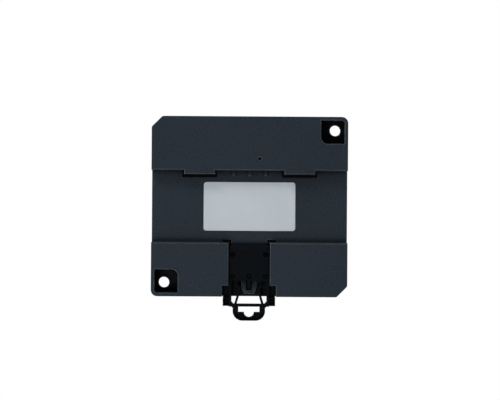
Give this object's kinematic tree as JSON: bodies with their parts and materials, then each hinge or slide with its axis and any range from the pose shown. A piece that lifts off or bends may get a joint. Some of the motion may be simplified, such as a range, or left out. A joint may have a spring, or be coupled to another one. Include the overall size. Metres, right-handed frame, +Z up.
{
  "type": "smart energy monitor",
  "caption": "Rail or wall mounted energy monitor hub with a sliding rail latch, corner screw ears, current jacks, a voltage plug, lights and a set button.",
  "frame": {"origin": "middle of the rail channel, in the plane of the wall", "axes": "+X along the rail, +Z up with the device mounted, -Y out of the front"},
  "size_m": [0.098, 0.0406, 0.102],
  "materials": {
    "slate_plastic": "fine-textured ABS",
    "latch_plastic": "dark moulded polyamide",
    "label_film": "light grey film",
    "board_black": "black solder mask",
    "steel": "zinc plated",
    "spacer_nylon": "natural nylon",
    "black_plastic": "moulded",
    "contact_metal": "gold flash",
    "ferrite": null,
    "winding_tape": "yellow tape over copper wire",
    "capacitor_sleeve": "shrink sleeve over an aluminium can",
    "fuse_body": "ceramic fuse",
    "varistor_coat": "epoxy coat",
    "chip_epoxy": "moulding compound",
    "plug_plastic": "moulded polyamide",
    "shield_tin": "tinned steel",
    "light_pipe_clear": null,
    "led_white": "moulded",
    "button_plastic": "fine-textured ABS"
  },
  "bodies": {
    "case": {"rear_housing": "slate_plastic", "front_cover": "slate_plastic", "rating_label": "label_film", "main_board": "board_black", "board_screws": "steel", "logic_board": "board_black", "board_spacers": "spacer_nylon", "header_base": "black_plastic", "header_pins": "contact_metal", "header_socket": "black_plastic", "transformer_core": "ferrite", "transformer_bobbin": "black_plastic", "transformer_winding": "winding_tape", "bulk_capacitors": "capacitor_sleeve", "output_capacitor": "capacitor_sleeve", "fuse": "fuse_body", "varistor": "varistor_coat", "bridge_rectifier": "chip_epoxy", "divider_resistors": "chip_epoxy", "metering_chip": "chip_epoxy", "voltage_header": "black_plastic", "voltage_pins": "contact_metal", "current_jack_1": "black_plastic", "current_jack_2": "black_plastic", "current_jack_3": "black_plastic", "current_jack_4": "black_plastic", "jack_contacts": "contact_metal", "usb_socket": "shield_tin", "usb_tongue": "black_plastic", "radio_module": "board_black", "radio_shield": "shield_tin", "antenna": "contact_metal", "status_leds": "led_white", "light_pipes": "light_pipe_clear", "set_switch": "black_plastic", "reset_switch": "black_plastic"},
    "din_latch": {"din_latch": "latch_plastic"},
    "set_button": {"set_button": "button_plastic", "set_plunger": "black_plastic"},
    "reset_plunger": {"reset_plunger": "black_plastic"},
    "voltage_plug": {"voltage_plug": "plug_plastic", "plug_contacts": "contact_metal"},
    "terminal_screw_1": {"terminal_screw_1": "steel"},
    "terminal_cage_1": {"terminal_cage_1": "steel"},
    "terminal_screw_2": {"terminal_screw_2": "steel"},
    "terminal_cage_2": {"terminal_cage_2": "steel"},
    "terminal_screw_3": {"terminal_screw_3": "steel"},
    "terminal_cage_3": {"terminal_cage_3": "steel"},
    "terminal_screw_4": {"terminal_screw_4": "steel"},
    "terminal_cage_4": {"terminal_cage_4": "steel"}
  },
  "joints": [
    {"name": "din_latch_slide", "type": "slide", "parent": "case", "child": "din_latch", "axis": [0, 0, 1], "range_m": [0, 0.0045]},
    {"name": "set_button_press", "type": "slide", "parent": "case", "child": "set_button", "axis": [0, 1, 0], "range_m": [0, 0.0003], "stiffness_N_per_m": 2000, "springref_m": -0.0005},
    {"name": "reset_plunger_press", "type": "slide", "parent": "case", "child": "reset_plunger", "axis": [0, -1, 0], "range_m": [0, 0.00025], "stiffness_N_per_m": 2000, "springref_m": -0.0005},
    {"name": "voltage_plug_slide", "type": "slide", "parent": "case", "child": "voltage_plug", "axis": [0, 0, 1], "range_m": [0, 0.012]},
    {"name": "terminal_screw_1_turn", "type": "hinge", "parent": "voltage_plug", "child": "terminal_screw_1", "pos_m": [-0.00743, -0.0275, 0.0389], "axis": [0, 1, 0], "range_deg": [0, 1290]},
    {"name": "terminal_cage_1_lift", "type": "slide", "parent": "voltage_plug", "child": "terminal_cage_1", "axis": [0, -1, 0], "range_m": [0, 0.00179]},
    {"name": "terminal_screw_2_turn", "type": "hinge", "parent": "voltage_plug", "child": "terminal_screw_2", "pos_m": [0.00019, -0.0275, 0.0389], "axis": [0, 1, 0], "range_deg": [0, 1290]},
    {"name": "terminal_cage_2_lift", "type": "slide", "parent": "voltage_plug", "child": "terminal_cage_2", "axis": [0, -1, 0], "range_m": [0, 0.00179]},
    {"name": "terminal_screw_3_turn", "type": "hinge", "parent": "voltage_plug", "child": "terminal_screw_3", "pos_m": [0.00781, -0.0275, 0.0389], "axis": [0, 1, 0], "range_deg": [0, 1290]},
    {"name": "terminal_cage_3_lift", "type": "slide", "parent": "voltage_plug", "child": "terminal_cage_3", "axis": [0, -1, 0], "range_m": [0, 0.00179]},
    {"name": "terminal_screw_4_turn", "type": "hinge", "parent": "voltage_plug", "child": "terminal_screw_4", "pos_m": [0.01543, -0.0275, 0.0389], "axis": [0, 1, 0], "range_deg": [0, 1290]},
    {"name": "terminal_cage_4_lift", "type": "slide", "parent": "voltage_plug", "child": "terminal_cage_4", "axis": [0, -1, 0], "range_m": [0, 0.00179]}
  ],
  "couplings": [
    {"joint": "terminal_screw_1_turn", "follows": "terminal_cage_1_lift", "rad_per_m": 12566},
    {"joint": "terminal_screw_2_turn", "follows": "terminal_cage_2_lift", "rad_per_m": 12566},
    {"joint": "terminal_screw_3_turn", "follows": "terminal_cage_3_lift", "rad_per_m": 12566},
    {"joint": "terminal_screw_4_turn", "follows": "terminal_cage_4_lift", "rad_per_m": 12566}
  ]
}
